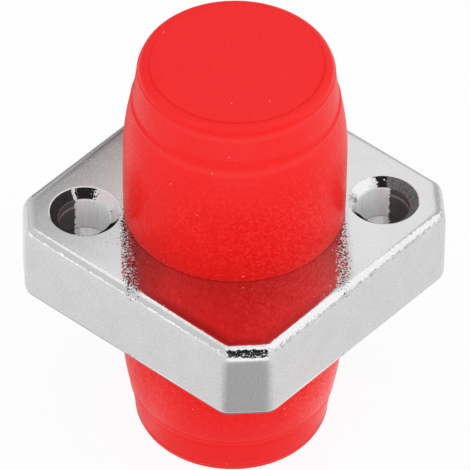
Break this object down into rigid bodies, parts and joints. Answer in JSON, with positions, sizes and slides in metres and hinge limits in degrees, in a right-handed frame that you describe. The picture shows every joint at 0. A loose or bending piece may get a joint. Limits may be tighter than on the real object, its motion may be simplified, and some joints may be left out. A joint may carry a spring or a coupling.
{
  "type": "flange fibre attenuator",
  "caption": "Square-flange coupler that fixes a known light loss between mated fibre plugs, with a keyed threaded port on each side and push-on dust caps.",
  "frame": {"origin": "middle of the flange, on the axis of both ports, where the two fibre ends meet", "axes": "+Z along the axis of the ports, +X through the two screw holes, +Y on the side of the key slots"},
  "size_m": [0.019, 0.019, 0.0214],
  "materials": {
    "plated_zinc": "satin",
    "plated_brass": "polished",
    "zirconia": "gloss",
    "spacer_steel": "satin",
    "red_plastic": "satin"
  },
  "bodies": {
    "body": {"flange_body": "plated_zinc", "sleeve_holder_upper": "plated_brass", "sleeve_holder_lower": "plated_brass", "split_sleeve": "zirconia", "gap_spacer": "spacer_steel"},
    "upper_cap": {"dust_cap_upper": "red_plastic"},
    "lower_cap": {"dust_cap_lower": "red_plastic"}
  },
  "joints": [
    {"name": "upper_cap_pull", "type": "slide", "parent": "body", "child": "upper_cap", "axis": [0, 0, 1], "range_m": [0, 0.018]},
    {"name": "lower_cap_pull", "type": "slide", "parent": "body", "child": "lower_cap", "axis": [0, 0, -1], "range_m": [0, 0.018]}
  ]
}
